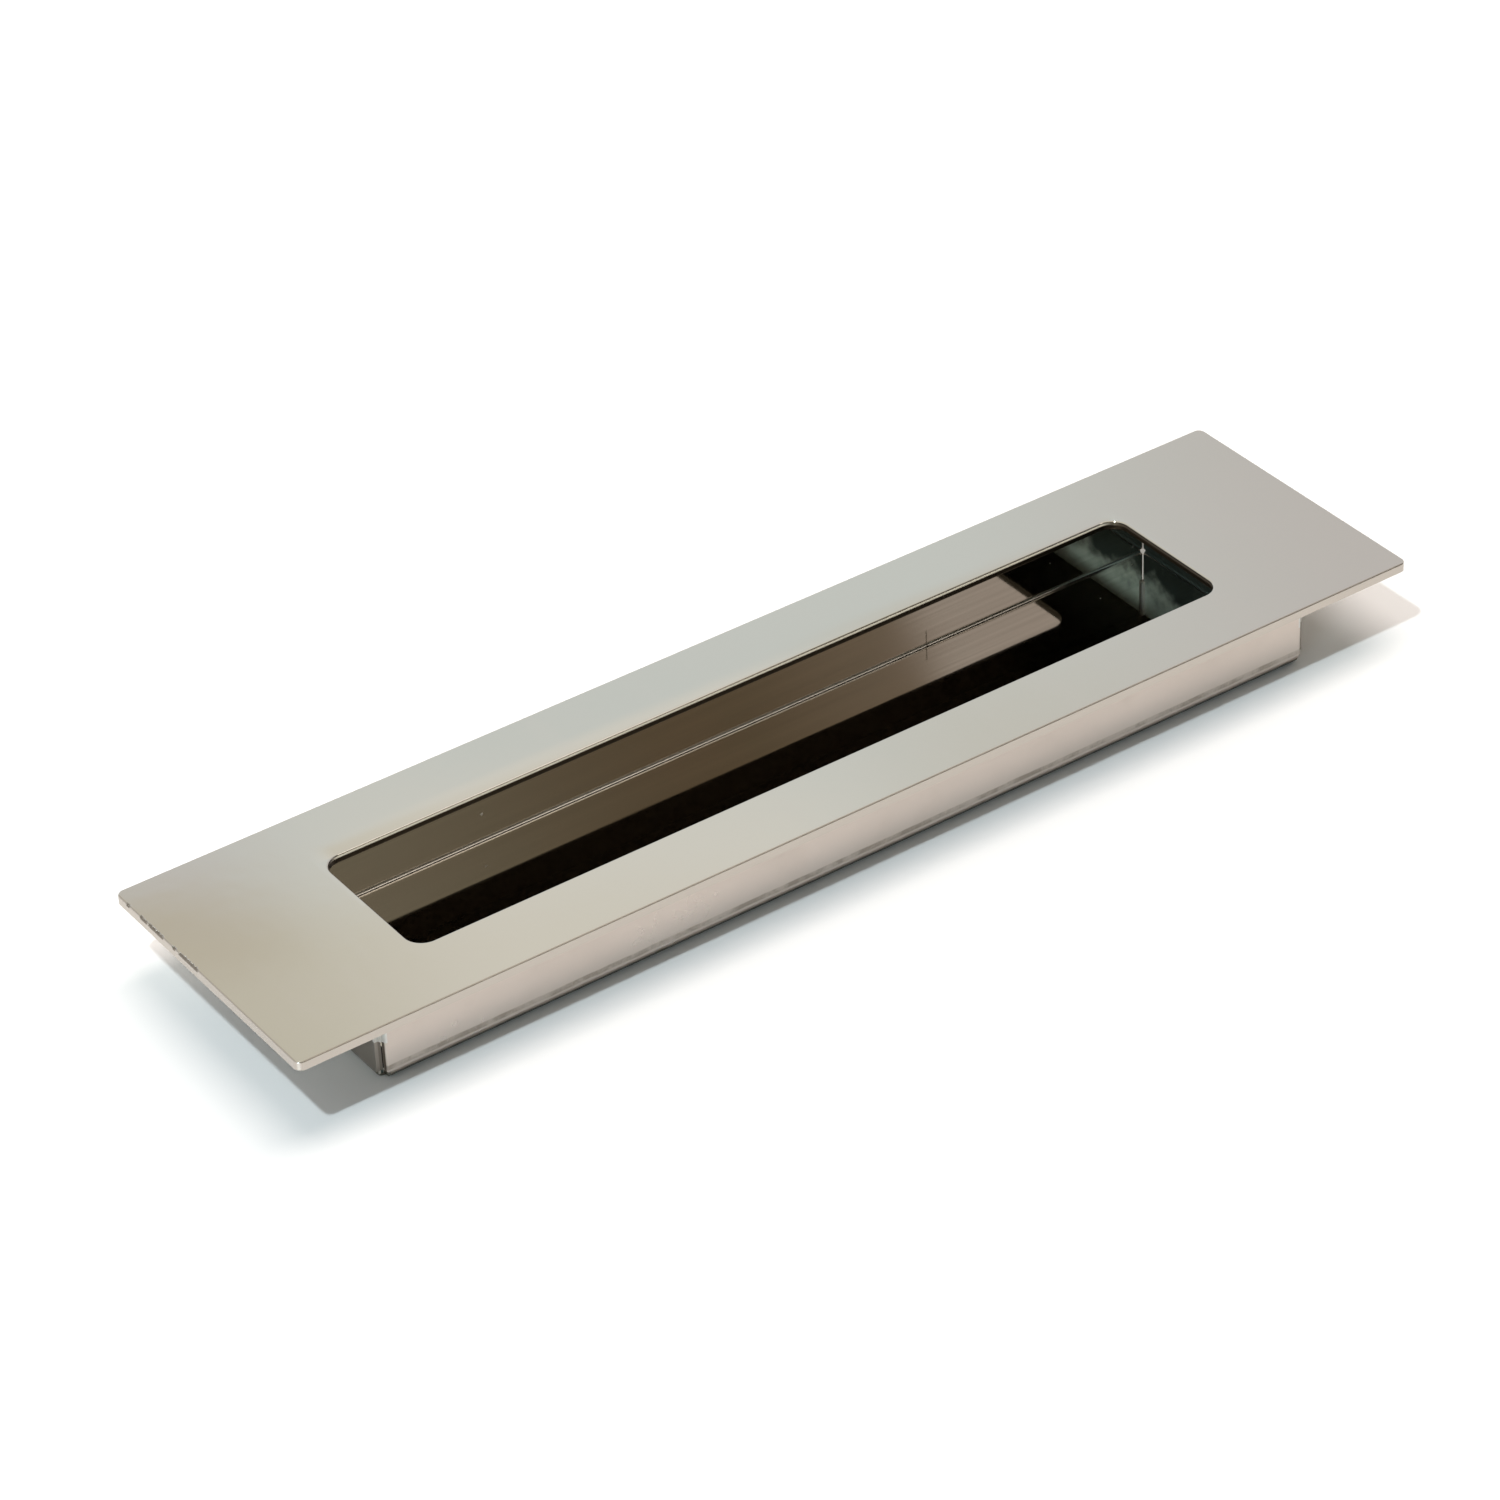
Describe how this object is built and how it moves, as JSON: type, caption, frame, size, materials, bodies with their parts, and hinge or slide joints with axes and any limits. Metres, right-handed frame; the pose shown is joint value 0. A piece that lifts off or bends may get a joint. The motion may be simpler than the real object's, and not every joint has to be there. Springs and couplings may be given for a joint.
{
  "type": "flush pull",
  "caption": "Rectangular flush pull for a sliding door: a flat face plate with a long rounded window over a wider folded tray that takes the fingertips.",
  "frame": {"origin": "centre of the tray's underside, where the pull rests on a flat surface", "axes": "+X along the length, +Y across the width, +Z out of the door, towards the shown face of the plate"},
  "size_m": [0.2, 0.05, 0.0145],
  "materials": {
    "plate_nickel": "polished nickel, faint wipe marks",
    "tray_nickel": "polished nickel, fine drawn lines along the fold"
  },
  "bodies": {
    "root": {"face_plate": "plate_nickel", "recess_tray": "tray_nickel"}
  },
  "joints": []
}
